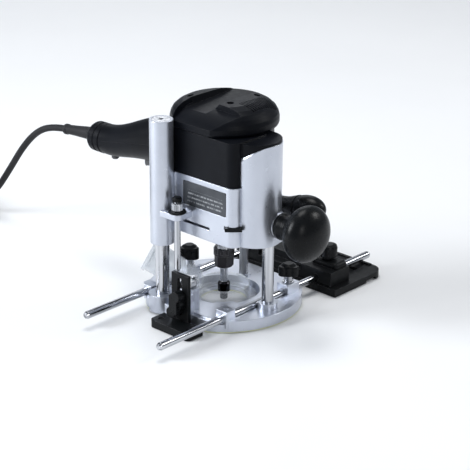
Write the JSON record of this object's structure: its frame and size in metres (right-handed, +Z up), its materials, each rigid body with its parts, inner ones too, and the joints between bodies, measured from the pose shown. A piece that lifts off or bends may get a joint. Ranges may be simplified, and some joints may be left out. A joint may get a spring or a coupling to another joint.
{
  "type": "plunge router",
  "caption": "Plunge router: motor on columns over a round base, with guide rods and stop, depth turret, support foot, clear hood and mains lead.",
  "frame": {"origin": "on the spindle axis, in the plane that the sole stands on", "axes": "+X along the guide rods towards the guide stop, +Y towards the main handle, +Z up"},
  "size_m": [0.3225, 0.6032, 0.2197],
  "materials": {
    "cast_aluminium": "fine satin casting, clear lacquered",
    "sole": "pale slippery laminate",
    "ground_chrome": "ground and chromed",
    "steel": "zinc plated steel",
    "turned_aluminium": "turned and anodised",
    "black_coating": "fine black powder coat",
    "blackened_steel": "blackened and oiled",
    "tube_steel": "drawn and phosphated",
    "black_plastic": "finely textured black",
    "control_plastic": "dark grey",
    "clear_plastic": "clear moulded plastic",
    "plate": "dark printed foil",
    "bush": "sintered bronze",
    "laminations": "varnished electrical sheet",
    "lead_rubber": "matt black rubber",
    "plug_metal": "nickel plated"
  },
  "bodies": {
    "base": {"base_plate": "cast_aluminium", "sole_plate": "sole", "base_screws": "steel", "column_left": "ground_chrome", "column_right": "ground_chrome", "spring_tube": "tube_steel", "plunge_spring": "steel", "dust_hood": "clear_plastic", "mains_lead": "lead_rubber", "mains_lead_coil": "lead_rubber", "mains_plug": "lead_rubber", "plug_pins": "plug_metal"},
    "carriage": {"motor_housing": "cast_aluminium", "column_bushes": "bush", "sleeve_plug": "steel", "rating_plate": "plate", "stator": "laminations", "motor_casing": "black_plastic", "top_cap": "black_plastic", "carriage_screws": "steel", "speed_module": "black_plastic", "handle_upper": "black_plastic", "handle_lower": "black_plastic", "switch": "black_plastic", "power_inlet": "black_plastic", "cord_plug": "black_plastic", "hand_rest": "black_plastic", "brush_gear": "control_plastic", "bearings": "steel", "depth_flange": "black_plastic"},
    "rotor": {"spindle": "steel", "armature": "laminations", "cooling_fan": "control_plastic", "collet": "steel", "collet_nut": "blackened_steel", "router_bit": "blackened_steel"},
    "plunge_lock": {"lock_knob": "black_plastic"},
    "turret": {"turret_disc": "turned_aluminium", "turret_screws": "steel"},
    "depth_rod": {"depth_rod": "steel", "depth_adjuster": "black_plastic"},
    "depth_nut": {"depth_nut": "steel"},
    "rear_clamp": {"rear_clamp_knob": "black_plastic", "rear_clamp_screw": "steel"},
    "front_clamp": {"front_clamp_knob": "black_plastic", "front_clamp_screw": "steel"},
    "guide_rods": {"guide_rods": "ground_chrome"},
    "guide_stop": {"stop_plate": "black_coating", "stop_body": "black_coating", "stop_screws": "steel"},
    "stop_clamp_front": {"stop_knob_front": "black_plastic"},
    "stop_clamp_rear": {"stop_knob_rear": "black_plastic"},
    "support_foot": {"support_foot": "black_coating"},
    "foot_clamp": {"support_knob": "black_plastic"},
    "trigger": {"trigger": "control_plastic"},
    "lock_on_button": {"lock_on_button": "control_plastic"},
    "cord_latch": {"cord_latch": "control_plastic"},
    "twist_ring": {"twist_ring": "black_plastic"},
    "spindle_lock": {"spindle_lock": "control_plastic"},
    "speed_dial": {"speed_dial": "control_plastic"}
  },
  "joints": [
    {"name": "plunge", "type": "slide", "parent": "base", "child": "carriage", "axis": [0, 0, 1], "range_m": [-0.055, 0], "stiffness_N_per_m": 600, "springref_m": 0.075, "deforming": ["plunge_spring", "mains_lead"]},
    {"name": "spindle_spin", "type": "hinge", "parent": "carriage", "child": "rotor", "pos_m": [0, 0, 0.1], "axis": [0, 0, 1], "continuous": true},
    {"name": "depth_rod_slide", "type": "slide", "parent": "carriage", "child": "depth_rod", "axis": [0, 0, 1], "range_m": [0, 0.055]},
    {"name": "depth_nut_turn", "type": "hinge", "parent": "carriage", "child": "depth_nut", "pos_m": [-0.062, 0.00545, 0.12], "axis": [0, 0, 1], "range_deg": [-120, 120]},
    {"name": "turret_turn", "type": "hinge", "parent": "base", "child": "turret", "pos_m": [-0.0615, -0.004, 0.041], "axis": [0, 0, 1], "continuous": true},
    {"name": "plunge_lock_turn", "type": "hinge", "parent": "carriage", "child": "plunge_lock", "pos_m": [-0.0035, -0.09, 0.106], "axis": [0, -1, 0], "range_deg": [-30, 60]},
    {"name": "rear_clamp_turn", "type": "hinge", "parent": "base", "child": "rear_clamp", "pos_m": [0.0016, 0.0515, 0.03], "axis": [0, 0, 1], "range_deg": [-90, 90]},
    {"name": "front_clamp_turn", "type": "hinge", "parent": "base", "child": "front_clamp", "pos_m": [0.042, -0.0515, 0.03], "axis": [0, 0, 1], "range_deg": [-90, 90]},
    {"name": "rods_slide", "type": "slide", "parent": "base", "child": "guide_rods", "axis": [1, 0, 0], "range_m": [0, 0.06]},
    {"name": "stop_slide", "type": "slide", "parent": "guide_rods", "child": "guide_stop", "axis": [1, 0, 0], "range_m": [-0.01, 0.05]},
    {"name": "stop_front_turn", "type": "hinge", "parent": "guide_stop", "child": "stop_clamp_front", "pos_m": [0.106, -0.0515, 0.035], "axis": [0, 0, 1], "range_deg": [-90, 90]},
    {"name": "stop_rear_turn", "type": "hinge", "parent": "guide_stop", "child": "stop_clamp_rear", "pos_m": [0.106, 0.0515, 0.035], "axis": [0, 0, 1], "range_deg": [-90, 90]},
    {"name": "foot_slide", "type": "slide", "parent": "base", "child": "support_foot", "axis": [0, 0, 1], "range_m": [-0.012, 0.004]},
    {"name": "foot_clamp_turn", "type": "hinge", "parent": "base", "child": "foot_clamp", "pos_m": [-0.08, -0.013, 0.027], "axis": [-1, 0, 0], "range_deg": [-90, 90]},
    {"name": "trigger_squeeze", "type": "hinge", "parent": "carriage", "child": "trigger", "pos_m": [0, 0.0855, 0.133], "axis": [1, 0, 0], "range_deg": [0, 5], "stiffness_Nm_per_rad": 1.2, "springref_deg": -6.88},
    {"name": "lock_on_press", "type": "slide", "parent": "carriage", "child": "lock_on_button", "axis": [1, 0, 0], "range_m": [-0.002, 0], "stiffness_N_per_m": 500, "springref_m": 0.002},
    {"name": "cord_latch_press", "type": "slide", "parent": "carriage", "child": "cord_latch", "axis": [0, 0, 1], "range_m": [0, 0.0025], "stiffness_N_per_m": 500, "springref_m": -0.002},
    {"name": "twist_ring_turn", "type": "hinge", "parent": "carriage", "child": "twist_ring", "pos_m": [0, 0.18, 0.1357], "axis": [0, 1, 0], "range_deg": [0, 30]},
    {"name": "spindle_lock_press", "type": "slide", "parent": "carriage", "child": "spindle_lock", "axis": [0.7071, 0.7071, 0], "range_m": [0, 0.003], "stiffness_N_per_m": 600, "springref_m": -0.003},
    {"name": "speed_dial_turn", "type": "hinge", "parent": "carriage", "child": "speed_dial", "pos_m": [0.0455, 0, 0.203], "axis": [0, 0, 1], "range_deg": [-135, 135]}
  ],
  "couplings": [
    {"joint": "depth_rod_slide", "follows": "plunge", "ratio": -1}
  ]
}
